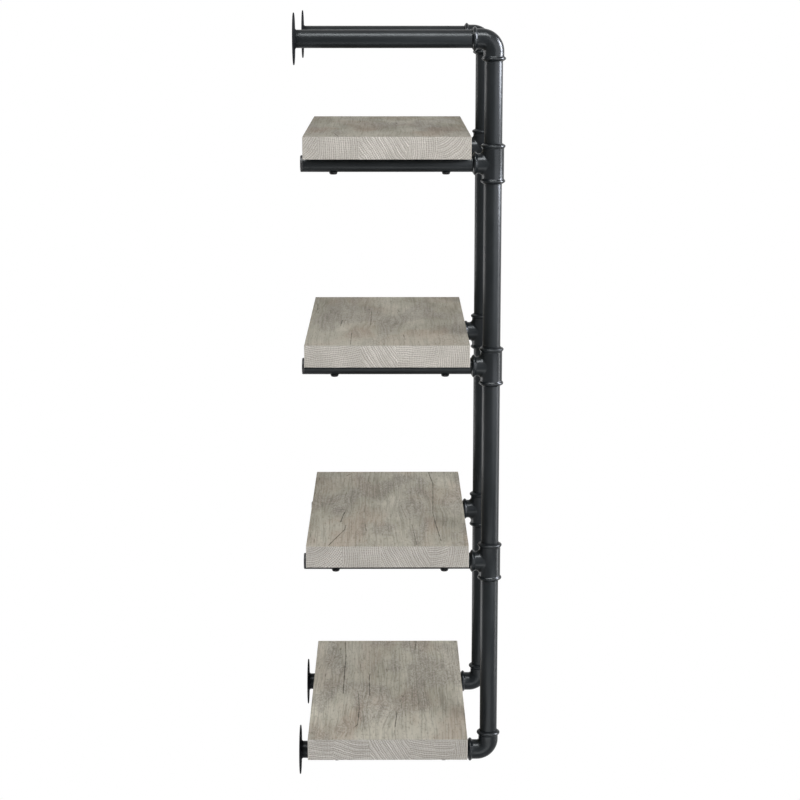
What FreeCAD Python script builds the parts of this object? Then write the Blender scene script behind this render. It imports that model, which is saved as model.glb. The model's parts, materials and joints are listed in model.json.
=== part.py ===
import FreeCAD, Part
import math
import os

os.makedirs("parts", exist_ok=True)

# A wall shelf: four thick boards on two side frames of pipe and screwed pipe fittings.
# Lengths are in millimetres. X runs along the boards and Z is up. The wall is the plane Y = 0 and
# the room is towards -Y. The origin lies on the wall, midway between the four wall flanges.
# Boards, tees, uprights and support tubes are numbered from the top down.

# Boards
board_count = 4
board_width = 610.0
board_depth = 305.0
board_thickness = 41.0
board_pitch = 381.0
board_wall_gap = 19.0
board_front_gap = 4.0
edge_band_thickness = 2.0
edge_band_chamfer = 0.6

# Side frames
frame_overhang = 101.8
top_bay_height = 171.0

# Pipe of the arms and uprights, and the thinner tubes that carry the upper boards
pipe_diameter = 33.4
pipe_wall = 2.6
support_tube_diameter = 31.0
support_tube_wall = 2.0
support_tube_wall_gap = 11.0

# Screwed joints: a pipe's end lands on the floor of a fitting's socket
socket_depth = 16.0
socket_clearance = 0.15

# The raised bead round each mouth of a fitting
bead_width = 8.6
bead_crest_width = 3.0
bead_crest_depth = 3.1
bead_mouth_lip = 1.0

# Tees
tee_shell = 3.7
tee_branch_shell = 3.3
tee_branch_set_in = 1.6
tee_bead_rise = 2.5
tee_branch_bead_rise = 2.7
tee_crotch_fillet = 6.0
tee_run_land = 3.6
tee_branch_land = 3.0

# Elbows
elbow_shell = 2.3
elbow_bead_rise = 3.4
elbow_crotch_radius = 3.5
elbow_land = 1.5

# Wall flanges
flange_margin = 30.8
flange_thickness = 2.0
flange_rim_chamfer = 0.5
flange_weld_leg = 3.4
flange_screw_count = 4
flange_screw_hole_diameter = 6.4
flange_screw_edge_margin = 12.5

# End caps of the support tubes
cap_head_thickness = 5.0
cap_head_chamfer = 1.2
cap_plug_length = 12.0
cap_plug_clearance = 0.1

# Screws that rise through the tubes and hold the boards down
screw_diameter = 8.0
screw_head_diameter = 15.4
screw_crown_diameter = 12.0
screw_head_height = 4.4
screw_depth_in_board = 24.0
screw_point_length = 5.0
screw_back_inset = 53.0
screw_front_inset = 43.0
screw_tube_clearance = 0.5
screw_board_clearance = 0.05
screw_tip_gap = 2.0

# How far a cutting solid runs past the face that it opens
overrun = 1.0

# Sizes that follow: pipes and fittings
pipe_radius = pipe_diameter / 2
pipe_bore_radius = pipe_radius - pipe_wall
support_radius = support_tube_diameter / 2
support_bore_radius = support_radius - support_tube_wall

tee_branch_radius = support_radius + tee_branch_shell
tee_body_radius = max(pipe_radius + tee_shell, tee_branch_radius + tee_branch_set_in)
tee_run_reach = tee_branch_radius + tee_crotch_fillet + tee_run_land + bead_width
tee_branch_reach = tee_body_radius + tee_crotch_fillet + tee_branch_land + bead_width

elbow_body_radius = pipe_radius + elbow_shell
elbow_bend_radius = elbow_body_radius + elbow_crotch_radius
elbow_reach = elbow_bend_radius + socket_depth + elbow_land

flange_radius = pipe_radius + flange_margin
flange_screw_circle_radius = flange_radius - flange_screw_edge_margin

# Sizes that follow: places along Y and X
board_back = -board_wall_gap
board_front = board_back - board_depth
upright_y = board_front - board_front_gap - max(tee_branch_reach, elbow_reach)
elbow_seat_y = upright_y + elbow_reach - socket_depth
tee_seat_y = upright_y + tee_branch_reach - socket_depth
screw_places_y = (board_back - screw_back_inset, board_front + screw_front_inset)
frame_x = board_width / 2 - frame_overhang

# Sizes that follow: heights
tee_count = board_count - 1
arm_rise = pipe_radius + tee_count * board_pitch + board_thickness + top_bay_height
top_arm_z = arm_rise / 2
bottom_arm_z = -arm_rise / 2

# Sizes that follow: screws
screw_radius = screw_diameter / 2
screw_head_radius = screw_head_diameter / 2
screw_crown_radius = screw_crown_diameter / 2

# Directions and turns
Vector = FreeCAD.Vector
UP = Vector(0, 0, 1)
DOWN = Vector(0, 0, -1)
TO_WALL = Vector(0, 1, 0)
TO_ROOM = Vector(0, -1, 0)
TO_LEFT = Vector(-1, 0, 0)
TO_RIGHT = Vector(1, 0, 0)
CENTRE = Vector(0, 0, 0)
FULL_TURN = 360.0


def board_underside(number):
    """Height of a board's underside: the lowest board lies on the bottom arms."""
    return bottom_arm_z + pipe_radius + (board_count - number) * board_pitch


def tee_height(number):
    """Height of a tee's branch, whose tube touches the board above it."""
    return board_underside(number) - support_radius


# Shapes that several pieces share

def rod(start, direction, length, radius):
    """A round bar that grows from start along direction."""
    return Part.makeCylinder(radius, length, start, direction)


def lines(*points):
    """Straight edges from point to point."""
    return [Part.LineSegment(a, b).toShape() for a, b in zip(points, points[1:])]


def quarter_arc(start, centre, end):
    """The quarter circle from start to end about centre."""
    middle = centre + (start - centre + end - centre) / math.sqrt(2)
    return Part.Arc(start, middle, end).toShape()


def profile(radius, height):
    """A point of a turned profile, by its radius and its height along the axis."""
    return Vector(radius, 0, height)


def lathe(edges, start, direction):
    """A turned solid, with its profile's zero height at start and its axis along direction."""
    solid = Part.Face(Part.Wire(edges)).revolve(CENTRE, UP, FULL_TURN)
    solid.Placement = FreeCAD.Placement(start, FreeCAD.Rotation(UP, direction))
    return solid


# Pipes

def pipe(start, end, radius, bore_radius):
    """A plain pipe from end to end."""
    along = (end - start).normalize()
    length = (end - start).Length
    bore = rod(start - along * overrun, along, length + 2 * overrun, bore_radius)
    return rod(start, along, length, radius).cut(bore)


def arm(x, z):
    """A horizontal pipe from the back of a wall flange into an elbow."""
    return pipe(Vector(x, 0, z), Vector(x, elbow_seat_y, z), pipe_radius, pipe_bore_radius)


def support_tube(x, z):
    """A thinner tube from a tee towards the wall, with a cap on its free end."""
    free_end = Vector(x, -support_tube_wall_gap - cap_head_thickness, z)
    return pipe(free_end, Vector(x, tee_seat_y, z), support_radius, support_bore_radius)


def drilled(tube, x, z, radius):
    """A horizontal tube with a hole straight through it for each of its screws."""
    for y in screw_places_y:
        start = Vector(x, y, z - radius - overrun)
        length = 2 * (radius + overrun)
        tube = tube.cut(rod(start, UP, length, screw_radius + screw_tube_clearance))
    return tube.Solids[0]


# Fittings

def collar(centre, direction, reach, body_radius, rise, tube_radius):
    """The bead round a mouth, as a full disc whose front is the mouth's face."""
    crest = body_radius + rise
    crest_front = reach - bead_crest_depth
    foot = reach - bead_width
    outline = lines(
        profile(0, reach), profile(tube_radius + socket_clearance + bead_mouth_lip, reach),
        profile(crest, crest_front), profile(crest, crest_front - bead_crest_width),
        profile(body_radius, foot), profile(0, foot), profile(0, reach),
    )
    return lathe(outline, centre, direction)


def socket(centre, direction, reach, tube_radius):
    """The hole in a mouth that takes the end of a pipe."""
    start = centre + direction * (reach - socket_depth)
    return rod(start, direction, socket_depth + overrun, tube_radius + socket_clearance)


def bend(centre, first, second, reach, radius):
    """A round bar with a quarter bend, from a point towards first to a point towards second."""
    bend_centre = centre + (first + second) * elbow_bend_radius
    bend_start = centre + first * elbow_bend_radius
    bend_end = centre + second * elbow_bend_radius
    path = (
        lines(centre + first * reach, bend_start)
        + [quarter_arc(bend_start, bend_centre, bend_end)]
        + lines(bend_end, centre + second * reach)
    )
    section = Part.Wire(Part.makeCircle(radius, centre + first * reach, first))
    return Part.Wire(path).makePipeShell([section], True, False)


def elbow(centre, first, second):
    """A quarter-bend fitting with a mouth towards each of two directions."""
    solid = bend(centre, first, second, elbow_reach - bead_crest_depth, elbow_body_radius)
    bore = bend(centre, first, second, elbow_reach + overrun, pipe_bore_radius)
    for direction in (first, second):
        solid = solid.fuse(
            collar(centre, direction, elbow_reach, elbow_body_radius, elbow_bead_rise, pipe_radius)
        )
        bore = bore.fuse(socket(centre, direction, elbow_reach, pipe_radius))
    return solid.cut(bore).removeSplitter().Solids[0]


def tee_body(centre):
    """The outside of a tee without its beads: an upright run, blended into a branch."""
    run_end = tee_run_reach - bead_crest_depth
    run = rod(centre + DOWN * run_end, UP, 2 * run_end, tee_body_radius)
    branch = rod(centre, TO_WALL, tee_branch_reach - bead_crest_depth, tee_branch_radius)
    body = run.fuse(branch).removeSplitter()
    crotch = [edge for edge in body.Edges if edge.Curve.TypeId == "Part::GeomBSplineCurve"]
    return body.makeFillet(tee_crotch_fillet, crotch)


def tee(centre):
    """A tee with its run upright and its smaller branch towards the wall."""
    solid = tee_body(centre).fuse(
        collar(
            centre, TO_WALL, tee_branch_reach,
            tee_branch_radius, tee_branch_bead_rise, support_radius,
        )
    )
    run_end = tee_run_reach + overrun
    bore = rod(centre + DOWN * run_end, UP, 2 * run_end, pipe_bore_radius)
    bore = bore.fuse(rod(centre, TO_WALL, tee_branch_reach, support_bore_radius))
    bore = bore.fuse(socket(centre, TO_WALL, tee_branch_reach, support_radius))
    for direction in (UP, DOWN):
        solid = solid.fuse(
            collar(centre, direction, tee_run_reach, tee_body_radius, tee_bead_rise, pipe_radius)
        )
        bore = bore.fuse(socket(centre, direction, tee_run_reach, pipe_radius))
    return solid.cut(bore).removeSplitter().Solids[0]


def flange(x, z):
    """A thin round plate against the wall, with a sloping weld round the pipe that enters it."""
    hole = pipe_radius + socket_clearance
    outline = lines(
        profile(hole, 0), profile(flange_radius, 0),
        profile(flange_radius, flange_thickness - flange_rim_chamfer),
        profile(flange_radius - flange_rim_chamfer, flange_thickness),
        profile(hole + flange_weld_leg, flange_thickness),
        profile(hole, flange_thickness + flange_weld_leg), profile(hole, 0),
    )
    solid = lathe(outline, Vector(x, 0, z), TO_ROOM)
    for number in range(flange_screw_count):
        angle = 2 * math.pi * (number + 1 / 2) / flange_screw_count
        offset = Vector(math.cos(angle), 0, math.sin(angle)) * flange_screw_circle_radius
        start = Vector(x, overrun, z) + offset
        solid = solid.cut(
            rod(start, TO_ROOM, flange_thickness + 2 * overrun, flange_screw_hole_diameter / 2)
        )
    return solid.Solids[0]


def tube_cap(x, z):
    """A push-in cap: a chamfered head as wide as the tube, and a plug inside the tube."""
    plug = support_bore_radius - cap_plug_clearance
    plug_end = cap_head_thickness + cap_plug_length
    outline = lines(
        profile(0, 0), profile(support_radius - cap_head_chamfer, 0),
        profile(support_radius, cap_head_chamfer), profile(support_radius, cap_head_thickness),
        profile(plug, cap_head_thickness), profile(plug, plug_end),
        profile(0, plug_end), profile(0, 0),
    )
    return lathe(outline, Vector(x, -support_tube_wall_gap, z), TO_ROOM)


# Fasteners

def screw(place, tube_diameter):
    """A screw that rises through a tube into a board; place is where its head meets the tube."""
    tip = tube_diameter + screw_depth_in_board
    outline = lines(
        profile(0, -screw_head_height), profile(screw_crown_radius, -screw_head_height),
        profile(screw_head_radius, 0), profile(screw_radius, 0),
        profile(screw_radius, tip - screw_point_length), profile(0, tip),
        profile(0, -screw_head_height),
    )
    return lathe(outline, place, UP)


def screw_places(z):
    """Where a board's screws cross a level: at the back and the front of each side frame."""
    return [Vector(x, y, z) for x in (-frame_x, frame_x) for y in screw_places_y]


# Boards

def board_core(underside):
    """A board without its edge bands, with a hole for each of its screws."""
    core = Part.makeBox(
        board_width - 2 * edge_band_thickness,
        board_depth - 2 * edge_band_thickness,
        board_thickness,
        Vector(edge_band_thickness - board_width / 2, board_front + edge_band_thickness, underside),
    )
    hole_depth = screw_depth_in_board + screw_tip_gap
    for place in screw_places(underside - overrun):
        core = core.cut(
            rod(place, UP, overrun + hole_depth, screw_radius + screw_board_clearance)
        )
    return core.Solids[0]


def edge_band(corner, along_x, along_y, outward, chamfer_ends):
    """One strip of edging, with the edges of its outer face chamfered."""
    strip = Part.makeBox(along_x, along_y, board_thickness, corner)
    outer_face = max(strip.Faces, key=lambda face: face.CenterOfMass.dot(outward))
    level = [edge for edge in outer_face.Edges if edge.BoundBox.ZLength < board_thickness / 2]
    return strip.makeChamfer(edge_band_chamfer, outer_face.Edges if chamfer_ends else level)


def edge_bands(underside):
    """A board's four edge bands: the short ones end between the long ones."""
    band = edge_band_thickness
    left = -board_width / 2
    right = board_width / 2
    inner_front = board_front + band
    inner_depth = board_depth - 2 * band
    return Part.Compound([
        edge_band(Vector(left, board_front, underside), board_width, band, TO_ROOM, True),
        edge_band(Vector(left, board_back - band, underside), board_width, band, TO_WALL, True),
        edge_band(Vector(left, inner_front, underside), band, inner_depth, TO_LEFT, False),
        edge_band(Vector(right - band, inner_front, underside), band, inner_depth, TO_RIGHT, False),
    ])


# The whole shelf, node by node

nodes = {}

for side, x in (("left", -frame_x), ("right", frame_x)):
    nodes[side + "_top_flange"] = flange(x, top_arm_z)
    nodes[side + "_bottom_flange"] = flange(x, bottom_arm_z)
    nodes[side + "_top_arm"] = arm(x, top_arm_z)
    nodes[side + "_bottom_arm"] = drilled(arm(x, bottom_arm_z), x, bottom_arm_z, pipe_radius)
    nodes[side + "_top_elbow"] = elbow(Vector(x, upright_y, top_arm_z), TO_WALL, DOWN)
    nodes[side + "_bottom_elbow"] = elbow(Vector(x, upright_y, bottom_arm_z), TO_WALL, UP)

    seats_z = [top_arm_z - elbow_reach + socket_depth]
    for number in range(1, tee_count + 1):
        z = tee_height(number)
        nodes["%s_tee_%d" % (side, number)] = tee(Vector(x, upright_y, z))
        tube = drilled(support_tube(x, z), x, z, support_radius)
        nodes["%s_support_tube_%d" % (side, number)] = tube
        nodes["%s_tube_cap_%d" % (side, number)] = tube_cap(x, z)
        seat_offset = tee_run_reach - socket_depth
        seats_z += [z + seat_offset, z - seat_offset]
    seats_z.append(bottom_arm_z + elbow_reach - socket_depth)

    for number in range(1, tee_count + 2):
        upper, lower = seats_z[2 * number - 2:2 * number]
        nodes["%s_upright_%d" % (side, number)] = pipe(
            Vector(x, upright_y, upper), Vector(x, upright_y, lower), pipe_radius, pipe_bore_radius
        )

for number in range(1, board_count + 1):
    underside = board_underside(number)
    carrier_diameter = pipe_diameter if number == board_count else support_tube_diameter
    name = "board_%d" % number
    nodes[name] = board_core(underside)
    nodes[name + "_edge_bands"] = edge_bands(underside)
    nodes[name + "_screws"] = Part.Compound(
        [screw(place, carrier_diameter) for place in screw_places(underside - carrier_diameter)]
    )

for name, shape in nodes.items():
    shape.exportStep(os.path.join("parts", name + ".step"))
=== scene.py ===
import json
import math
from collections import namedtuple

import bmesh
import bpy
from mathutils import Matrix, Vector


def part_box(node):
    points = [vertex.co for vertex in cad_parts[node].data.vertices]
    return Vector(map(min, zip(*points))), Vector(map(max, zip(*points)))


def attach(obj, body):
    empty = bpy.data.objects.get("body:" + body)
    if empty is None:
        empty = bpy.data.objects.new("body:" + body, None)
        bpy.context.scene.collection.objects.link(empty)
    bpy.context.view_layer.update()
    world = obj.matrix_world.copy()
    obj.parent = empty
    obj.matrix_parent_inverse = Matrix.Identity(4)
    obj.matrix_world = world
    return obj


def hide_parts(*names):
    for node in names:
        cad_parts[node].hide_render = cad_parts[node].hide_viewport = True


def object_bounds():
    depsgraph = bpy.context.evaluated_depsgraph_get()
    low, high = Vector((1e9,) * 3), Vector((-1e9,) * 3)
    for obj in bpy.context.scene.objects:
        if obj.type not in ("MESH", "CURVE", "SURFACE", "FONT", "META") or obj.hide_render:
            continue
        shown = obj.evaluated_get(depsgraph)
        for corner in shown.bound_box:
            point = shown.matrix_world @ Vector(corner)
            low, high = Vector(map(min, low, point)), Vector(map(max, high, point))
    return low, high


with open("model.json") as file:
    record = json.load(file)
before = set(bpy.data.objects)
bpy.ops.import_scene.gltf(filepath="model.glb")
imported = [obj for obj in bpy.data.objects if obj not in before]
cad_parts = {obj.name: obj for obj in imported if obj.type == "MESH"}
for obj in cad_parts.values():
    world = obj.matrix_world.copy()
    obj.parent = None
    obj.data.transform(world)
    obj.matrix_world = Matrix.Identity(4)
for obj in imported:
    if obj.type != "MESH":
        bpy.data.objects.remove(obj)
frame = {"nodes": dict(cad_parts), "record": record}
cad_low, cad_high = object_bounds()

# A wall shelf with four grey boards on two black pipe frames. Lengths are in metres.
# X runs along the boards, the wall is the plane Y = 0 and Z is up.

# Camera: how far it turns to the left of X and dips below the level, its lens and how far it sees
CAMERA_PLACE = (-4.040, -0.1754, 0.7758)
CAMERA_TURN = math.radians(-0.302)
CAMERA_DIP = math.radians(11.261)
CAMERA_LENS = 92.94
CAMERA_SENSOR = 36.0
CAMERA_REACH = 200.0

# A lamp: its place, the point it is aimed at, its width and height, how bright its face is, and
# its colour
Lamp = namedtuple("Lamp", "place aim size radiance colour")
WHITE = (1.0, 1.0, 1.0)

# Lamps that light the surfaces
LIGHTING_LAMPS = {
    "key_lamp": Lamp(
        place=(-2.6, -2.3, 1.8), aim=(0.0, -0.2, 0.0), size=(2.4, 2.4),
        radiance=5.5, colour=(1.0, 0.99, 0.97),
    ),
    "fill_lamp": Lamp(
        place=(2.4, 1.6, 1.2), aim=(0.0, -0.2, 0.0), size=(2.0, 2.0),
        radiance=2.2, colour=WHITE,
    ),
}

# Lamps that show only as reflections in the metal
REFLECTED_LAMPS = {
    "side_strip": Lamp(
        place=(-0.10, -2.87, 1.30), aim=(-0.2, -0.37, 0.9), size=(0.9, 1.6),
        radiance=95.0, colour=(0.86, 0.90, 1.0),
    ),
    "low_side_strip": Lamp(
        place=(-0.10, -2.87, -0.60), aim=(-0.2, -0.37, -0.4), size=(0.7, 1.8),
        radiance=12.0, colour=(0.97, 0.98, 1.0),
    ),
    "room_panel": Lamp(
        place=(-2.10, -1.95, 0.60), aim=(-0.2, -0.37, 0.5), size=(2.3, 2.6),
        radiance=4.5, colour=(0.92, 0.95, 1.0),
    ),
    "top_strip": Lamp(
        place=(-1.60, -0.17, 2.76), aim=(-0.2, -0.17, 0.686), size=(2.6, 0.8),
        radiance=34.0, colour=(0.94, 0.98, 1.0),
    ),
    "wall_strip": Lamp(
        place=(1.12, 1.75, 0.0), aim=(-0.2, -0.37, 0.0), size=(0.45, 3.2),
        radiance=8.0, colour=WHITE,
    ),
    "low_panel": Lamp(
        place=(-1.55, -0.20, -1.50), aim=(-0.2, -0.17, 0.3), size=(1.8, 1.1),
        radiance=4.0, colour=(0.97, 1.0, 1.0),
    ),
}

# How a noise varies: steps per metre along X and across it, detail and roughness
Noise = namedtuple("Noise", "along across detail roughness", defaults=(2.0, 0.5))
# A smooth change: the values where it starts and ends, and what it gives there
Ramp = namedtuple("Ramp", "start end at_start at_end", defaults=(0.0, 1.0))
# A colour laid over another, as far as its noise and ramp let it show
Layer = namedtuple("Layer", "noise ramp colour")
SOFT_RAMP = Ramp(0.3, 0.7)
NOISE_MIDDLE = 0.5
# Leaves out the height of a place
FLAT = (1.0, 1.0, 0.0)

# Light from all sides, by the height in the sky
AMBIENT_COLOUR = (0.98, 0.99, 1.0)
AMBIENT_RAMP = Ramp(0.1, 0.8, 0.78, 0.40)

# Floor, below the shelf as it hangs on its wall, and how it fades into the background
FLOOR_DROP = 0.90
FLOOR_HALF_SIZE = 60.0
FLOOR_FADE = Ramp(0.5, 1.5)
FLOOR_NOISE = Noise(40.0, 40.0)
FLOOR_DARK = (0.84, 0.84, 0.84)
FLOOR_LIGHT = (0.88, 0.88, 0.88)
FLOOR_ROUGHNESS = 0.8

# Softened corners of the CAD pieces
WELD_GAP = 0.00001
METAL_BEVEL = 0.0005
FITTING_BEVEL = 0.0013
BOARD_BEVEL = 0.0003
BEVEL_SEGMENTS = 3
BEVEL_ANGLE = math.radians(20)

# Screws: the outline of a head is given as shares of its radius and height, from the seat down
SCREW_HEAD_RADIUS = 0.0077
SCREW_HEAD_HEIGHT = 0.0044
SCREW_HEAD_SHARES = ((1.0, 0.0), (1.0, 0.22), (0.97, 0.45), (0.91, 0.70), (0.82, 0.90), (0.72, 1.0))
SCREW_SHANK_RADIUS = 0.0040
SCREW_POINT_LENGTH = 0.0050
SCREW_SOCKET_SIDES = 6
SCREW_SOCKET_FLATS = 0.0050
SCREW_SOCKET_DEPTH = 0.0024
SCREW_SEGMENTS = 36
SCREW_SHARP_ANGLE = math.radians(35)

# Boards
BOARD_COUNT = 4
band_boxes = {n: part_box("board_%d_edge_bands" % n) for n in range(1, BOARD_COUNT + 1)}


# Node trees

class Tree:
    """A material's or world's node tree, with short calls for the nodes used here."""

    def __init__(self, tree):
        self.nodes = tree.nodes
        self.links = tree.links
        self.nodes.clear()

    def add(self, kind, **settings):
        made = self.nodes.new(kind)
        for name, value in settings.items():
            setattr(made, name, value)
        return made

    def feed(self, socket, value):
        if isinstance(value, bpy.types.NodeSocket):
            self.links.new(value, socket)
        elif value is not None:
            socket.default_value = value

    def math(self, operation, first, second=None, third=None, clamp=False):
        made = self.add("ShaderNodeMath", operation=operation, use_clamp=clamp)
        for socket, value in zip(made.inputs, (first, second, third)):
            self.feed(socket, value)
        return made.outputs[0]

    def times(self, first, second):
        return self.math("MULTIPLY", first, second)

    def minus(self, first, second):
        return self.math("SUBTRACT", first, second)

    def plus(self, value, extra, size):
        """A value and so many times an extra one."""
        return self.math("MULTIPLY_ADD", extra, size, value)

    def vector(self, operation, first, second=None):
        made = self.add("ShaderNodeVectorMath", operation=operation)
        for socket, value in zip(made.inputs, (first, second)):
            self.feed(socket, value)
        return made.outputs["Value" if operation in ("LENGTH", "DOT_PRODUCT") else "Vector"]

    def scaled(self, vector, sizes):
        return self.vector("MULTIPLY", vector, sizes)

    def joined(self, x, y, z):
        made = self.add("ShaderNodeCombineXYZ")
        for socket, value in zip(made.inputs, (x, y, z)):
            self.feed(socket, value)
        return made.outputs[0]

    def split(self, vector):
        made = self.add("ShaderNodeSeparateXYZ")
        self.feed(made.inputs[0], vector)
        return made.outputs

    def noise(self, place, noise):
        made = self.add("ShaderNodeTexNoise")
        steps = (noise.along, noise.across, noise.across)
        for name, value in (
            ("Vector", self.scaled(place, steps)), ("Scale", 1.0),
            ("Detail", noise.detail), ("Roughness", noise.roughness),
        ):
            self.feed(made.inputs[name], value)
        return made.outputs["Fac"]

    def swing(self, place, noise):
        """A noise that varies about zero."""
        return self.minus(self.noise(place, noise), NOISE_MIDDLE)

    def smooth(self, value, ramp, share=1.0):
        """What a ramp gives at a value, times a share."""
        made = self.add("ShaderNodeMapRange", interpolation_type="SMOOTHSTEP")
        for name, number in (
            ("Value", value), ("From Min", ramp.start), ("From Max", ramp.end),
            ("To Min", ramp.at_start * share), ("To Max", ramp.at_end * share),
        ):
            self.feed(made.inputs[name], number)
        return made.outputs["Result"]

    def mix(self, share, first, second):
        made = self.add("ShaderNodeMix", data_type="RGBA")
        self.feed(made.inputs["Factor"], share)
        for name, value in (("A", first), ("B", second)):
            socket = [s for s in made.inputs if s.name == name and s.type == "RGBA"][0]
            self.feed(socket, (*value, 1.0) if isinstance(value, tuple) else value)
        return [s for s in made.outputs if s.type == "RGBA"][0]

    def cover(self, colour, value, layer, share=1.0):
        """A colour with a layer over it, where the layer's noise has a value."""
        return self.mix(self.smooth(value, layer.ramp, share), colour, layer.colour)

    def cloudy(self, place, noise, dark, light):
        """A colour that drifts between a dark and a light one."""
        return self.mix(self.smooth(self.noise(place, noise), SOFT_RAMP), dark, light)

    def bump(self, height, strength, distance):
        made = self.add("ShaderNodeBump")
        self.feed(made.inputs["Height"], height)
        self.feed(made.inputs["Strength"], strength)
        self.feed(made.inputs["Distance"], distance)
        return made.outputs["Normal"]

    def wave(self, length, period):
        """A sine along a length, from 0 to 1."""
        turn = self.math("SINE", self.times(length, math.tau / period))
        return self.math("MULTIPLY_ADD", turn, 0.5, 0.5)

    def place(self):
        """Where a point lies in the object's frame, in metres."""
        return self.add("ShaderNodeTexCoord").outputs["Object"]


def new_material(name):
    """A material with its node tree and the inputs of its main shader."""
    material = bpy.data.materials.new(name)
    material.use_nodes = True
    tree = Tree(material.node_tree)
    shader = tree.add("ShaderNodeBsdfPrincipled")
    output = tree.add("ShaderNodeOutputMaterial")
    tree.links.new(shader.outputs["BSDF"], output.inputs["Surface"])
    return material, tree, shader.inputs


# Black coated metal: dark and light clouds of tone, roughness, strength of the mirror image, and
# how fine the orange peel is in steps per metre
Coat = namedtuple("Coat", "dark light roughness shine peel_steps")
COATS = {
    "pipe_coat": Coat(
        dark=(0.0085, 0.0108, 0.0125), light=(0.0125, 0.0150, 0.0170),
        roughness=0.35, shine=0.16, peel_steps=800.0,
    ),
    "fitting_coat": Coat(
        dark=(0.0085, 0.0108, 0.0125), light=(0.0130, 0.0155, 0.0180),
        roughness=0.28, shine=0.17, peel_steps=420.0,
    ),
    "flange_coat": Coat(
        dark=(0.006, 0.007, 0.009), light=(0.010, 0.011, 0.013),
        roughness=0.80, shine=0.03, peel_steps=700.0,
    ),
    "screw_coat": Coat(
        dark=(0.006, 0.006, 0.007), light=(0.010, 0.010, 0.011),
        roughness=0.42, shine=0.16, peel_steps=900.0,
    ),
}
COAT_CLOUDS = Noise(14.0, 14.0, 3.0, 0.55)
COAT_SPECKS = Layer(Noise(1900.0, 1900.0, 1.0), Ramp(0.66, 0.78, 0.0, 0.15), (0.06, 0.06, 0.065))
ROUGHNESS_CHANGE = 0.05
PEEL_STRENGTH = 0.2
PEEL_DEPTH = 0.00002
SURFACE_IOR = 1.45


def coated_metal(name, coat):
    """A satin black coat: fine orange peel, and cloudy changes of tone and gloss."""
    material, tree, inputs = new_material(name)
    place = tree.place()
    cloud = tree.noise(place, COAT_CLOUDS)
    tone = tree.mix(tree.smooth(cloud, SOFT_RAMP), coat.dark, coat.light)
    speck = tree.noise(place, COAT_SPECKS.noise)
    tree.feed(inputs["Base Color"], tree.cover(tone, speck, COAT_SPECKS))
    least = coat.roughness - ROUGHNESS_CHANGE / 2
    tree.feed(inputs["Roughness"], tree.plus(least, cloud, ROUGHNESS_CHANGE))
    inputs["IOR"].default_value = SURFACE_IOR
    inputs["Specular IOR Level"].default_value = coat.shine
    peel = tree.noise(place, Noise(coat.peel_steps, coat.peel_steps))
    tree.feed(inputs["Normal"], tree.bump(peel, PEEL_STRENGTH, PEEL_DEPTH))
    return material


# Black plastic
PLASTIC_CLOUDS = Noise(60.0, 60.0, 3.0)
PLASTIC_DARK = (0.010, 0.010, 0.011)
PLASTIC_LIGHT = (0.016, 0.016, 0.018)
PLASTIC_GRAIN = Noise(1500.0, 1500.0)
PLASTIC_ROUGHNESS = Ramp(0.3, 0.7, 0.44, 0.54)
PLASTIC_SHINE = 0.35
PLASTIC_RELIEF_STRENGTH = 0.4
PLASTIC_RELIEF_DEPTH = 0.00004


def moulded_plastic(name):
    material, tree, inputs = new_material(name)
    place = tree.place()
    tone = tree.cloudy(place, PLASTIC_CLOUDS, PLASTIC_DARK, PLASTIC_LIGHT)
    tree.feed(inputs["Base Color"], tone)
    grain = tree.noise(place, PLASTIC_GRAIN)
    tree.feed(inputs["Roughness"], tree.smooth(grain, PLASTIC_ROUGHNESS))
    inputs["Specular IOR Level"].default_value = PLASTIC_SHINE
    relief = tree.bump(grain, PLASTIC_RELIEF_STRENGTH, PLASTIC_RELIEF_DEPTH)
    tree.feed(inputs["Normal"], relief)
    return material


# Weathered grey wood: how the grain flows and ripples sideways, what turns a knot's long
# surroundings into a round, how many radii a knot reaches and how strongly it draws the grain in
FLOW = Noise(2.4, 7.5)
FLOW_WIDTH = 0.026
RIPPLE = Noise(14.0, 45.0)
RIPPLE_WIDTH = 0.004
KNOT_SHAPE = (0.35, 1.0, 0.0)
KNOT_REACH = 2.8
KNOT_PULL = 0.8


def bent_grain(tree, place, knots):
    """The place as the grain sees it: wavy, and drawn round the knots. Also how near a knot is."""
    x, y, z = tree.split(place)
    y = tree.plus(y, tree.swing(place, FLOW), FLOW_WIDTH)
    y = tree.plus(y, tree.swing(place, RIPPLE), RIPPLE_WIDTH)
    knotty = 0.0
    for knot in knots:
        apart = tree.vector("SUBTRACT", place, (knot.x, knot.y, 0.0))
        apart = tree.vector("LENGTH", tree.scaled(apart, KNOT_SHAPE))
        near = tree.smooth(apart, Ramp(0.0, knot.radius * KNOT_REACH, 1.0, 0.0))
        knotty = tree.math("MAXIMUM", knotty, near)
        side = tree.minus(y, knot.y)
        y = tree.minus(y, tree.times(tree.times(near, side), KNOT_PULL))
    return tree.joined(x, y, z), knotty


# Patches with contours: how much of the relief noise lies between two contour lines, and where
# the patches show
RELIEF = Noise(13.0, 34.0, 3.0, 0.55)
CONTOUR_STEP = 0.085
PATCHES = Layer(Noise(4.0, 13.0), Ramp(0.50, 0.60, 0.0, 0.8), (0.440, 0.408, 0.378))
PATCH_SHIFT = (7.1, 0.6, 2.5)


def contours(tree, place, grain, knotty):
    """Thin wavy rings, as a sawn surface shows round a knot and where the growth rings lie flat.

    Also how much of such a patch there is.
    """
    patch = tree.noise(tree.vector("ADD", grain, PATCH_SHIFT), PATCHES.noise)
    patch = tree.math("MAXIMUM", tree.smooth(patch, PATCHES.ramp), knotty)
    rings = tree.wave(tree.noise(place, RELIEF), CONTOUR_STEP)
    return tree.times(rings, patch), patch


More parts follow.
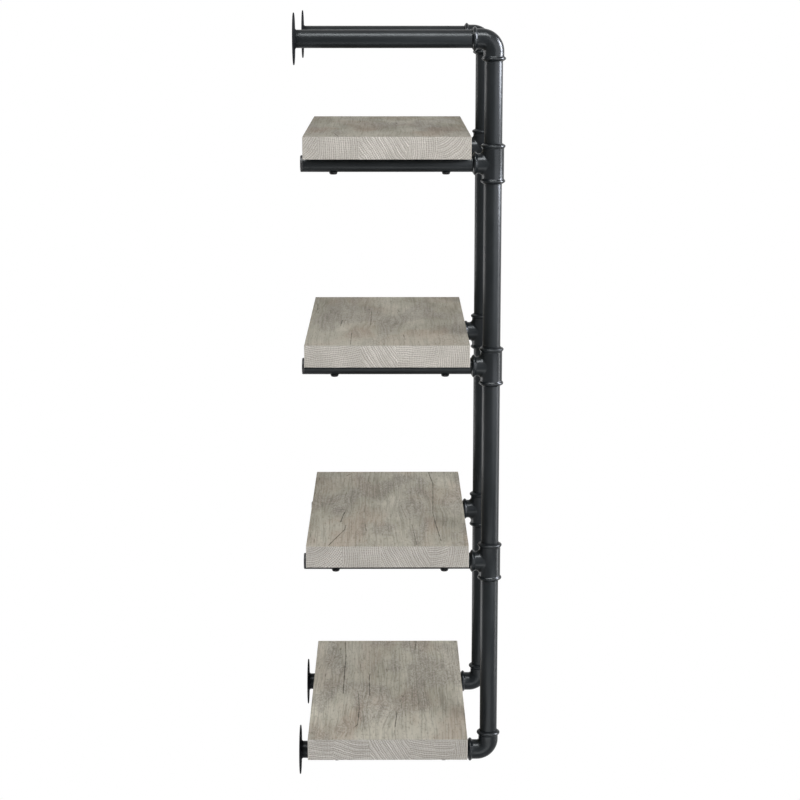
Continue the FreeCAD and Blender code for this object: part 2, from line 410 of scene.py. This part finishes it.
# Long grain, from the ground up: clouds, darker staves and mottle, patches, brown stains that are
# strongest at the left end, painted light that makes the left end paler, and fine streaks,
# speckles, ticks and rings. The shift keeps some of these layers apart from the others.
LAYER_SHIFT = (3.7, 1.9, 0.4)
GRAIN_CLOUDS = Noise(5.0, 14.0, 4.0, 0.62)
GRAIN_CLOUD_RAMP = Ramp(0.33, 0.66)
GRAIN_DULL = (0.368, 0.349, 0.292)
GRAIN_FRESH = (0.545, 0.519, 0.450)
STAVES = Layer(Noise(1.6, 11.0, 1.0), Ramp(0.40, 0.62, 0.0, 0.30), (0.254, 0.239, 0.197))
MOTTLE = Layer(Noise(15.0, 80.0, 4.0, 0.65), Ramp(0.42, 0.62, 0.0, 0.24), (0.225, 0.212, 0.171))
PATCH_SHARE = 0.55
STAINS = Layer(Noise(4.5, 12.0, 3.0), Ramp(0.46, 0.62), (0.418, 0.334, 0.272))
STAIN_BY_X = Ramp(-0.305, 0.05, 0.75, 0.28)
# Painted light: the left end is paler, as if more light falls on it than on the rest of the board
PAINTED_LIGHT_BY_X = Ramp(-0.28, -0.10, 1.0, 0.0)
PAINTED_LIGHT_COLOUR = (0.560, 0.530, 0.460)
PALE_STREAKS = Layer(
    Noise(12.0, 240.0, 2.0, 0.6), Ramp(0.48, 0.64, 0.0, 0.36), (0.570, 0.550, 0.480)
)
DARK_STREAKS = Layer(
    Noise(7.0, 310.0, 2.0, 0.6), Ramp(0.47, 0.65, 0.0, 0.38), (0.145, 0.135, 0.105)
)
SPECKLES = Layer(Noise(70.0, 210.0, 2.0, 0.7), Ramp(0.52, 0.68, 0.0, 0.36), (0.140, 0.130, 0.102))
TICKS = Layer(Noise(24.0, 260.0, 1.0), Ramp(0.67, 0.74, 0.0, 0.6), (0.090, 0.083, 0.066))
TICK_CLUSTERS = Noise(4.0, 26.0)
TICK_CLUSTER_RAMP = Ramp(0.42, 0.60, 0.2, 1.0)
GRAIN_RING_SHARE = 0.46
GRAIN_RING_COLOUR = (0.125, 0.115, 0.088)

# Relief of the long grain: how far streaks, ticks and cracks lie under the surface, and the pale
# streaks over it
DARK_STREAK_DEPTH = 0.4
PALE_STREAK_RISE = 0.5
TICK_DEPTH = 0.5
CRACK_DEPTH = 1.2

# Cracks: how far they wander, and where their sides start and end, all in half widths
CRACK_WOBBLE = Noise(45.0, 90.0)
CRACK_WANDER = 2.6
CRACK_SIDE_START = 0.2
CRACK_SIDE_END = 1.3
CRACK_SHARE = 0.85
CRACK_COLOUR = (0.052, 0.047, 0.038)


def long_grain(tree, place, look, knots, cracks):
    """Colour and height of wood whose grain runs along X, with knots and drying cracks."""
    grain, knotty = bent_grain(tree, place, knots)
    shifted = tree.vector("ADD", grain, LAYER_SHIFT)
    rings, patch = contours(tree, place, grain, knotty)
    x = tree.split(place)[0]
    strength = look.grain_share

    # Painted light, in part: the lower boards' tone is raised against the shade of the boards above
    dull, fresh = [tuple(look.tone * part for part in tone) for tone in (GRAIN_DULL, GRAIN_FRESH)]
    cloud = tree.smooth(tree.noise(grain, GRAIN_CLOUDS), GRAIN_CLOUD_RAMP)
    colour = tree.mix(cloud, dull, fresh)
    colour = tree.cover(colour, tree.noise(shifted, STAVES.noise), STAVES)
    colour = tree.cover(colour, tree.noise(grain, MOTTLE.noise), MOTTLE, strength)
    colour = tree.mix(tree.times(patch, PATCH_SHARE), colour, PATCHES.colour)
    stain = tree.smooth(tree.noise(shifted, STAINS.noise), STAINS.ramp)
    colour = tree.mix(tree.times(stain, tree.smooth(x, STAIN_BY_X)), colour, STAINS.colour)
    # Painted light: a paler left end of the board
    colour = tree.mix(tree.smooth(x, PAINTED_LIGHT_BY_X, look.fade_share), colour, PAINTED_LIGHT_COLOUR)
    pale = tree.noise(shifted, PALE_STREAKS.noise)
    colour = tree.cover(colour, pale, PALE_STREAKS, strength)
    streak = tree.noise(grain, DARK_STREAKS.noise)
    colour = tree.cover(colour, streak, DARK_STREAKS, strength)
    colour = tree.cover(colour, tree.noise(grain, SPECKLES.noise), SPECKLES, strength)
    tick = tree.smooth(tree.noise(shifted, TICKS.noise), TICKS.ramp, strength)
    cluster = tree.smooth(tree.noise(grain, TICK_CLUSTERS), TICK_CLUSTER_RAMP)
    tick = tree.times(tick, cluster)
    colour = tree.mix(tick, colour, TICKS.colour)
    colour = tree.mix(tree.times(rings, GRAIN_RING_SHARE * strength), colour, GRAIN_RING_COLOUR)
    height = tree.plus(tree.times(pale, PALE_STREAK_RISE), streak, -DARK_STREAK_DEPTH)
    height = tree.minus(height, tree.times(tick, TICK_DEPTH))

    wobble = tree.swing(tree.scaled(place, FLAT), CRACK_WOBBLE)
    for crack in cracks:
        gap = crack_gap(tree, place, wobble, crack)
        colour = tree.mix(tree.times(gap, CRACK_SHARE * strength), colour, CRACK_COLOUR)
        height = tree.minus(height, tree.times(gap, CRACK_DEPTH))
    return colour, height


def crack_gap(tree, place, wobble, crack):
    """1 inside a crack that runs from its start to its end, and 0 away from it."""
    start, end = Vector((*crack.start, 0.0)), Vector((*crack.end, 0.0))
    along = end - start
    offset = tree.scaled(tree.vector("SUBTRACT", place, start), FLAT)
    share = tree.vector("DOT_PRODUCT", offset, along)
    share = tree.math("DIVIDE", share, along.length_squared, clamp=True)
    reach = tree.joined(tree.times(share, along.x), tree.times(share, along.y), 0.0)
    apart = tree.vector("LENGTH", tree.vector("SUBTRACT", offset, reach))
    apart = tree.plus(apart, wobble, crack.half_width * CRACK_WANDER)
    side_start = crack.half_width * CRACK_SIDE_START
    side_end = crack.half_width * CRACK_SIDE_END
    return tree.smooth(apart, Ramp(side_start, side_end, 1.0, 0.0))


# End grain: how far a block's ring centre may lie from the board's corner, and the spacings of
# the rings, of the broad pale rings and of the rays that cross them
CENTRE_REACH = 0.6
RING_PITCH = 0.0038
BROAD_PITCH = 0.0095
RAY_PITCH = 0.0031

# How the joints between the blocks bend, by a share of the depth, and the rings and rays by a width
JOINT_BEND = Noise(34.0, 34.0)
JOINT_BEND_SHARE = 0.07
SLOW_BEND = Noise(22.0, 22.0)
SLOW_BEND_WIDTH = 0.011
QUICK_BEND = Noise(110.0, 110.0)
QUICK_BEND_WIDTH = 0.0022
RAY_BEND_WIDTH = 0.0030

# Colours of the end grain, from the ground up: clouds, the weave of rings and rays, dark rays,
# broad pale rings that come and go, and specks
END_CLOUDS = Noise(22.0, 22.0)
END_DARK = (0.460, 0.436, 0.404)
END_LIGHT = (0.560, 0.533, 0.498)
WEAVE_BY_RING = Ramp(0.15, 0.85, 1.0, 0.0)
WEAVE_BY_RAY = Ramp(0.1, 0.9, 0.35, 0.85)
WEAVE_COLOUR = (0.250, 0.234, 0.205)
RAY_RAMP = Ramp(0.70, 1.0, 0.0, 0.22)
RAY_COLOUR = (0.270, 0.252, 0.225)
BROAD_RAMP = Ramp(0.88, 1.0, 0.0, 0.85)
BROAD_BY_RAY = Ramp(0.30, 0.90, 1.0, 0.55)
BROAD_COLOUR = (0.740, 0.715, 0.675)
BROAD_STRENGTH = Noise(42.0, 42.0)
BROAD_STRENGTH_RAMP = Ramp(0.30, 0.60, 0.35, 1.0)
END_SPECKS = Layer(
    Noise(420.0, 420.0, 2.0, 0.6), Ramp(0.50, 0.68, 0.0, 0.48), (0.230, 0.214, 0.192)
)
END_RING_RISE = 0.5
END_SPECK_DEPTH = 0.3


def block_values(tree, share, depth, thickness, blocks):
    """What holds for the block of end grain at a share of the board's depth.

    Its ring centre's place across the board and up, how far off that is, and how strongly its
    pale rings show. A colour stop holds the place as a share of the centres' reach.
    """
    ramp = tree.add("ShaderNodeValToRGB")
    ramp.color_ramp.interpolation = "CONSTANT"
    stops = ramp.color_ramp.elements
    while len(stops) < len(blocks):
        stops.new(1.0)
    ends = [block.start for block in blocks[1:]] + [1.0]
    for index, (block, end) in enumerate(zip(blocks, ends)):
        lean = math.radians(block.lean)
        across = (block.start + end) / 2 * depth - block.radius * math.sin(lean)
        up = thickness / 2 + block.radius * math.cos(lean)
        centre = [0.5 + off / CENTRE_REACH / 2 for off in (across, up)]
        stops[index].position = block.start
        stops[index].color = (*centre, block.radius, block.pale_share)
    tree.feed(ramp.inputs["Fac"], share)
    across, up, radius = tree.split(ramp.outputs["Color"])
    across, up = [tree.plus(-CENTRE_REACH, part, 2 * CENTRE_REACH) for part in (across, up)]
    return across, up, radius, ramp.outputs["Alpha"]


def end_grain(tree, place, low, high, blocks):
    """Colour and height of end grain: blocks side by side, each with rings about its own centre."""
    _, y, z = tree.split(place)
    across = tree.minus(high.y, y)
    up = tree.minus(z, low.z)
    depth, thickness = high.y - low.y, high.z - low.z
    share = tree.math("DIVIDE", across, depth)
    share = tree.plus(share, tree.swing(place, JOINT_BEND), JOINT_BEND_SHARE)
    centre_across, centre_up, radius, pale_share = block_values(
        tree, share, depth, thickness, blocks
    )
    off_across = tree.minus(across, centre_across)
    off_up = tree.minus(up, centre_up)
    quick = tree.swing(place, QUICK_BEND)
    away = tree.vector("LENGTH", tree.joined(off_across, off_up, 0.0))
    away = tree.plus(away, tree.swing(place, SLOW_BEND), SLOW_BEND_WIDTH)
    away = tree.plus(away, quick, QUICK_BEND_WIDTH)
    turn = tree.times(tree.math("ARCTAN2", off_up, off_across), radius)
    turn = tree.plus(turn, quick, RAY_BEND_WIDTH)
    ring = tree.wave(away, RING_PITCH)
    broad = tree.wave(away, BROAD_PITCH)
    ray = tree.wave(turn, RAY_PITCH)
    speck = tree.noise(place, END_SPECKS.noise)

    colour = tree.cloudy(place, END_CLOUDS, END_DARK, END_LIGHT)
    weave = tree.times(tree.smooth(ring, WEAVE_BY_RING), tree.smooth(ray, WEAVE_BY_RAY))
    colour = tree.mix(weave, colour, WEAVE_COLOUR)
    colour = tree.mix(tree.smooth(ray, RAY_RAMP), colour, RAY_COLOUR)
    strength = tree.smooth(tree.noise(place, BROAD_STRENGTH), BROAD_STRENGTH_RAMP)
    strength = tree.times(strength, pale_share)
    pale_ring = tree.times(tree.smooth(broad, BROAD_RAMP), strength)
    pale_ring = tree.times(pale_ring, tree.smooth(ray, BROAD_BY_RAY))
    colour = tree.mix(pale_ring, colour, BROAD_COLOUR)
    colour = tree.cover(colour, speck, END_SPECKS)
    height = tree.plus(tree.times(speck, -END_SPECK_DEPTH), ring, END_RING_RISE)
    return colour, height


# Edging strips: the long ones' ends show beside the short ones
STRIP_THICKNESS = 0.0020
STRIP_JOINT = 0.0005
STRIP_END_SHARE = 0.45
STRIP_END_COLOUR = (0.680, 0.655, 0.610)
STRIP_JOINT_SHARE = 0.55
STRIP_JOINT_COLOUR = (0.250, 0.205, 0.170)


def strip_ends(tree, place, low, high, colour):
    """End grain with the paler ends of the two long strips, and the thin joints beside them."""
    y = tree.split(place)[1]
    inset = tree.math("MINIMUM", tree.minus(high.y, y), tree.minus(y, low.y))
    end_ramp = Ramp(STRIP_THICKNESS - STRIP_JOINT, STRIP_THICKNESS, STRIP_END_SHARE, 0.0)
    colour = tree.mix(tree.smooth(inset, end_ramp), colour, STRIP_END_COLOUR)
    apart = tree.math("ABSOLUTE", tree.minus(inset, STRIP_THICKNESS))
    joint_ramp = Ramp(0.0, STRIP_JOINT, STRIP_JOINT_SHARE, 0.0)
    return tree.mix(tree.smooth(apart, joint_ramp), colour, STRIP_JOINT_COLOUR)


# The finish of the wood: rougher in its hollows, and without gloss
WOOD_ROUGHNESS = Ramp(-0.5, 1.0, 0.74, 0.60)
WOOD_SHINE = 0.0
WOOD_RELIEF_STRENGTH = 0.45
WOOD_RELIEF_DEPTH = 0.00025

# How far a surface of the edging has to face along X to show end grain
END_FACING = Ramp(0.50, 0.60)


def finish_wood(tree, inputs, colour, height):
    tree.feed(inputs["Base Color"], colour)
    tree.feed(inputs["Roughness"], tree.smooth(height, WOOD_ROUGHNESS))
    inputs["IOR"].default_value = SURFACE_IOR
    inputs["Specular IOR Level"].default_value = WOOD_SHINE
    relief = tree.bump(height, WOOD_RELIEF_STRENGTH, WOOD_RELIEF_DEPTH)
    tree.feed(inputs["Normal"], relief)


def board_wood(name, look, knots, cracks):
    material, tree, inputs = new_material(name)
    colour, height = long_grain(tree, tree.place(), look, knots, cracks)
    finish_wood(tree, inputs, colour, height)
    return material


def band_wood(name, box, look, knots, blocks):
    """Edging: end grain on the short sides of a board, and long grain on its long sides."""
    material, tree, inputs = new_material(name)
    place = tree.place()
    long_colour, long_height = long_grain(tree, place, look, knots, ())
    end_colour, end_height = end_grain(tree, place, *box, blocks)
    # Painted light, in part: each board's ends are darker from the top board down
    end_colour = tree.scaled(end_colour, (look.end_tone,) * 3)
    end_colour = strip_ends(tree, place, *box, end_colour)
    normal = tree.add("ShaderNodeNewGeometry").outputs["Normal"]
    facing = tree.math("ABSOLUTE", tree.split(normal)[0])
    side = tree.smooth(facing, END_FACING)
    height = tree.plus(long_height, side, tree.minus(end_height, long_height))
    finish_wood(tree, inputs, tree.mix(side, long_colour, end_colour), height)
    return material


# How pale each board is: on its faces, partly painted light that makes the lower boards paler
# against the shade of the boards above; on its ends, partly painted light that darkens them from
# the top board down. How strongly its grain shows, and how strongly painted light makes its left
# end paler
BoardLook = namedtuple("BoardLook", "tone end_tone grain_share fade_share")
BOARD_LOOKS = {
    1: BoardLook(tone=1.02, end_tone=1.09, grain_share=0.60, fade_share=0.42),
    2: BoardLook(tone=1.03, end_tone=1.10, grain_share=0.63, fade_share=0.62),
    3: BoardLook(tone=1.09, end_tone=1.00, grain_share=0.82, fade_share=0.34),
    4: BoardLook(tone=1.25, end_tone=0.95, grain_share=0.85, fade_share=0.30),
}

# Knots of the boards
Knot = namedtuple("Knot", "x y radius")
BOARD_KNOTS = {
    1: (Knot(0.060, -0.190, 0.012), Knot(-0.200, -0.080, 0.010)),
    2: (
        Knot(-0.030, -0.180, 0.014), Knot(0.150, -0.060, 0.010),
        Knot(-0.190, -0.110, 0.010),
    ),
    3: (
        Knot(-0.020, -0.074, 0.012), Knot(0.000, -0.222, 0.018),
        Knot(0.020, -0.300, 0.012),
    ),
    4: (
        Knot(-0.120, -0.155, 0.018), Knot(0.120, -0.070, 0.012),
        Knot(-0.250, -0.085, 0.010),
    ),
}

# Cracks of the boards
Crack = namedtuple("Crack", "start end half_width")
BOARD_CRACKS = {
    1: (
        Crack((-0.201, -0.073), (-0.300, -0.084), 0.0010),
        Crack((0.200, -0.116), (0.109, -0.118), 0.0009),
        Crack((0.093, -0.190), (0.058, -0.191), 0.0010),
    ),
    2: (
        Crack((-0.007, -0.083), (-0.073, -0.081), 0.0013),
        Crack((0.105, -0.140), (-0.073, -0.139), 0.0008),
        Crack((-0.163, -0.104), (-0.296, -0.104), 0.0010),
        Crack((-0.182, -0.202), (-0.237, -0.205), 0.0012),
        Crack((0.209, -0.027), (0.120, -0.030), 0.0009),
    ),
    3: (
        Crack((-0.010, -0.060), (-0.020, -0.070), 0.0012),
        Crack((-0.020, -0.070), (-0.024, -0.084), 0.0014),
        Crack((-0.049, -0.086), (-0.122, -0.080), 0.0013),
        Crack((-0.146, -0.091), (-0.182, -0.089), 0.0010),
        Crack((-0.182, -0.089), (-0.243, -0.074), 0.0013),
        Crack((-0.243, -0.074), (-0.298, -0.061), 0.0013),
        Crack((0.300, -0.259), (0.195, -0.267), 0.0010),
        Crack((0.195, -0.267), (-0.053, -0.262), 0.0009),
        Crack((-0.053, -0.262), (-0.151, -0.266), 0.0011),
        Crack((-0.151, -0.266), (-0.266, -0.273), 0.0010),
        Crack((-0.143, -0.219), (-0.296, -0.227), 0.0006),
        Crack((0.288, -0.094), (0.263, -0.082), 0.0012),
        Crack((-0.037, -0.262), (-0.032, -0.246), 0.0009),
    ),
    4: (
        Crack((0.300, -0.078), (0.200, -0.082), 0.0009),
        Crack((0.200, -0.082), (0.054, -0.081), 0.0013),
        Crack((0.054, -0.081), (-0.041, -0.081), 0.0010),
        Crack((0.082, -0.135), (0.066, -0.133), 0.0011),
        Crack((0.066, -0.133), (-0.053, -0.135), 0.0012),
        Crack((-0.035, -0.112), (-0.131, -0.115), 0.0009),
        Crack((-0.131, -0.115), (-0.222, -0.113), 0.0013),
        Crack((-0.222, -0.113), (-0.239, -0.106), 0.0013),
        Crack((-0.154, -0.190), (-0.234, -0.186), 0.0012),
        Crack((0.299, -0.234), (0.249, -0.231), 0.0010),
        Crack((-0.036, -0.244), (-0.132, -0.246), 0.0006),
    ),
}

# End grain of the boards, from the wall side to the front: where each block starts as a share of
# the depth, how far its lines lean from level in degrees, how far off their ring centre lies, and
# how strongly its pale rings show
Block = namedtuple("Block", "start lean radius pale_share")
BOARD_BLOCKS = {
    1: (
        Block(0.0, 55.0, 0.16, 0.3), Block(0.09, 90.0, 0.25, 0.3),
        Block(0.33, -58.0, 0.30, 0.9), Block(0.62, 88.0, 0.14, 0.4),
        Block(0.80, 40.0, 0.05, 0.5),
    ),
    2: (
        Block(0.0, 4.0, 0.20, 0.15), Block(0.34, -58.0, 0.30, 0.7),
        Block(0.56, 3.0, 0.28, 0.15), Block(0.80, 90.0, 0.22, 0.2),
    ),
    3: (
        Block(0.0, 35.0, 0.05, 0.3), Block(0.22, 88.0, 0.25, 0.2),
        Block(0.46, -62.0, 0.30, 0.6), Block(0.76, 10.0, 0.12, 0.6),
        Block(0.88, 84.0, 0.2, 0.3),
    ),
    4: (
        Block(0.0, -5.0, 0.15, 0.9), Block(0.16, -12.0, 0.12, 0.9),
        Block(0.38, -58.0, 0.30, 1.0), Block(0.64, -4.0, 0.25, 0.6),
        Block(0.92, 90.0, 0.2, 0.3),
    ),
}


# CAD pieces: softened corners and finishes

def dress(piece, material, bevel):
    """Gives a CAD piece its finish, and softens its sharp edges a little.

    The fittings' broad bevel isn't held back where edges lie close together, because it would
    shrink to nothing there.
    """
    piece.data.materials.clear()
    piece.data.materials.append(material)
    weld = piece.modifiers.new("weld", "WELD")
    weld.merge_threshold = WELD_GAP
    soften = piece.modifiers.new("soften", "BEVEL")
    soften.width = bevel
    soften.segments = BEVEL_SEGMENTS
    soften.use_clamp_overlap = bevel < FITTING_BEVEL
    soften.limit_method = "ANGLE"
    soften.angle_limit = BEVEL_ANGLE


# Screws: button heads with a six-sided socket, seen under the tubes

def socket_radius(turn):
    """Distance from a screw's axis to the side of its socket, in the direction turn."""
    side_turn = math.tau / SCREW_SOCKET_SIDES
    return SCREW_SOCKET_FLATS / 2 / math.cos(turn % side_turn - side_turn / 2)


def screw_rings(low, high):
    """Rings of a screw from its shank's end to its socket's floor: radius by turn, and height."""
    seat = low.z + SCREW_HEAD_HEIGHT
    profile = [(SCREW_SHANK_RADIUS, high.z - SCREW_POINT_LENGTH), (SCREW_SHANK_RADIUS, seat)]
    for out, down in SCREW_HEAD_SHARES:
        profile.append((SCREW_HEAD_RADIUS * out, seat - SCREW_HEAD_HEIGHT * down))
    turns = [math.tau * step / SCREW_SEGMENTS for step in range(SCREW_SEGMENTS)]
    rings = [([(turn, radius) for turn in turns], height) for radius, height in profile]
    socket = [(turn, socket_radius(turn)) for turn in turns]
    return rings + [(socket, low.z), (socket, low.z + SCREW_SOCKET_DEPTH)]


def add_screw(shape, x, y, tip_height, rings):
    """Adds a closed screw, its axis at x and y, to a shape."""
    loops = [
        [
            shape.verts.new((x + radius * math.cos(turn), y + radius * math.sin(turn), height))
            for turn, radius in ring
        ]
        for ring, height in rings
    ]
    for upper, lower in zip(loops, loops[1:]):
        for step in range(SCREW_SEGMENTS):
            shape.faces.new((upper[step - 1], upper[step], lower[step], lower[step - 1]))
    shape.faces.new(loops[-1])
    tip = shape.verts.new((x, y, tip_height))
    for step in range(SCREW_SEGMENTS):
        shape.faces.new((loops[0][step], loops[0][step - 1], tip))


def screw_set(name, box, material):
    """Four screws at the corners of a box, with their heads at its foot."""
    low, high = box
    rings = screw_rings(low, high)
    shape = bmesh.new()
    for x in (low.x + SCREW_HEAD_RADIUS, high.x - SCREW_HEAD_RADIUS):
        for y in (low.y + SCREW_HEAD_RADIUS, high.y - SCREW_HEAD_RADIUS):
            add_screw(shape, x, y, high.z, rings)
    bmesh.ops.recalc_face_normals(shape, faces=shape.faces)
    mesh = bpy.data.meshes.new(name)
    shape.to_mesh(mesh)
    shape.free()
    mesh.materials.append(material)
    for face in mesh.polygons:
        face.use_smooth = True
    mesh.set_sharp_from_angle(angle=SCREW_SHARP_ANGLE)
    screws = bpy.data.objects.new(name, mesh)
    bpy.context.scene.collection.objects.link(screws)
    return screws


finishes = {name: coated_metal(name, coat) for name, coat in COATS.items()}
finishes["cap_plastic"] = moulded_plastic("cap_plastic")
slots = {entry["node"]: entry["material_slot"] for entry in frame["record"]["subparts"]}
for name, piece in frame["nodes"].items():
    if slots[name] in finishes:
        bevel = FITTING_BEVEL if slots[name] == "fitting_coat" else METAL_BEVEL
        dress(piece, finishes[slots[name]], bevel)
for number, box in band_boxes.items():
    look, knots = BOARD_LOOKS[number], BOARD_KNOTS[number]
    wood = board_wood("board_%d_wood" % number, look, knots, BOARD_CRACKS[number])
    band = band_wood("board_%d_band" % number, box, look, knots, BOARD_BLOCKS[number])
    dress(frame["nodes"]["board_%d" % number], wood, BOARD_BEVEL)
    dress(frame["nodes"]["board_%d_edge_bands" % number], band, BOARD_BEVEL)
    node = "board_%d_screws" % number
    screws = screw_set("board_%d_screw_set" % number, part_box(node), finishes["screw_coat"])
    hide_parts(node)
    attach(screws, "root")


# Floor, background and lamps

def sees_background(tree):
    """1 on the rays that show the background: camera, glossy and transmission rays."""
    rays = tree.add("ShaderNodeLightPath").outputs
    seen = tree.math("MAXIMUM", rays["Is Camera Ray"], rays["Is Glossy Ray"])
    return tree.math("MAXIMUM", seen, rays["Is Transmission Ray"])


def show_white(tree, kind, share, shaded, output):
    """Shows what is shaded, and plain white from a node of the given kind over it by a share."""
    white = tree.add(kind)
    white.inputs["Color"].default_value = (*WHITE, 1.0)
    blend = tree.add("ShaderNodeMixShader")
    tree.feed(blend.inputs[0], share)
    tree.links.new(shaded, blend.inputs[1])
    tree.links.new(white.outputs[0], blend.inputs[2])
    tree.links.new(blend.outputs[0], output.inputs["Surface"])


def pale_floor():
    """A wide pale floor that turns into the white background away from the shelf."""
    mesh = bpy.data.meshes.new("floor")
    shape = bmesh.new()
    bmesh.ops.create_grid(shape, x_segments=1, y_segments=1, size=FLOOR_HALF_SIZE)
    shape.to_mesh(mesh)
    shape.free()
    floor = bpy.data.objects.new("floor", mesh)
    floor.location.z = cad_low.z - FLOOR_DROP
    bpy.context.scene.collection.objects.link(floor)
    material, tree, inputs = new_material("floor")
    place = tree.place()
    tone = tree.cloudy(place, FLOOR_NOISE, FLOOR_DARK, FLOOR_LIGHT)
    tree.feed(inputs["Base Color"], tone)
    inputs["Roughness"].default_value = FLOOR_ROUGHNESS
    away = tree.vector("LENGTH", tree.scaled(place, FLAT))
    faded = tree.times(sees_background(tree), tree.smooth(away, FLOOR_FADE))
    output = next(n for n in tree.nodes if n.type == "OUTPUT_MATERIAL")
    shaded = output.inputs["Surface"].links[0].from_socket
    show_white(tree, "ShaderNodeEmission", faded, shaded, output)
    mesh.materials.append(material)


def lit_world():
    """A soft light from all sides, in front of a white background."""
    world = bpy.data.worlds.new("studio")
    bpy.context.scene.world = world
    world.use_nodes = True
    tree = Tree(world.node_tree)
    ambient = tree.add("ShaderNodeBackground")
    ambient.inputs["Color"].default_value = (*AMBIENT_COLOUR, 1.0)
    height = tree.split(tree.add("ShaderNodeTexCoord").outputs["Generated"])[2]
    tree.feed(ambient.inputs["Strength"], tree.smooth(height, AMBIENT_RAMP))
    output = tree.add("ShaderNodeOutputWorld")
    seen = sees_background(tree)
    show_white(tree, "ShaderNodeBackground", seen, ambient.outputs[0], output)


def soft_lamp(name, lamp):
    """A rectangular lamp of the given radiance, whatever its size."""
    width, height = lamp.size
    data = bpy.data.lights.new(name, "AREA")
    data.shape = "RECTANGLE"
    data.size, data.size_y = width, height
    data.energy = lamp.radiance * math.pi * width * height
    data.color = lamp.colour
    made = bpy.data.objects.new(name, data)
    made.location = lamp.place
    made.rotation_mode = "QUATERNION"
    aim = Vector(lamp.aim) - Vector(lamp.place)
    made.rotation_quaternion = aim.to_track_quat("-Z", "Y")
    made.visible_camera = False
    bpy.context.scene.collection.objects.link(made)
    return made


pale_floor()
lit_world()
for name, lamp in LIGHTING_LAMPS.items():
    soft_lamp(name, lamp).visible_glossy = False
for name, lamp in REFLECTED_LAMPS.items():
    soft_lamp(name, lamp).visible_diffuse = False

# Camera
camera_data = bpy.data.cameras.new("camera")
camera_data.lens = CAMERA_LENS
camera_data.sensor_width = CAMERA_SENSOR
camera_data.clip_end = CAMERA_REACH
camera = bpy.data.objects.new("camera", camera_data)
camera.location = CAMERA_PLACE
ahead = Vector((
    math.cos(CAMERA_DIP) * math.cos(CAMERA_TURN),
    math.cos(CAMERA_DIP) * math.sin(CAMERA_TURN),
    -math.sin(CAMERA_DIP),
))
camera.rotation_mode = "QUATERNION"
camera.rotation_quaternion = ahead.to_track_quat("-Z", "Y")
bpy.context.scene.collection.objects.link(camera)
bpy.context.scene.camera = camera
bpy.context.scene.view_settings.view_transform = "Standard"
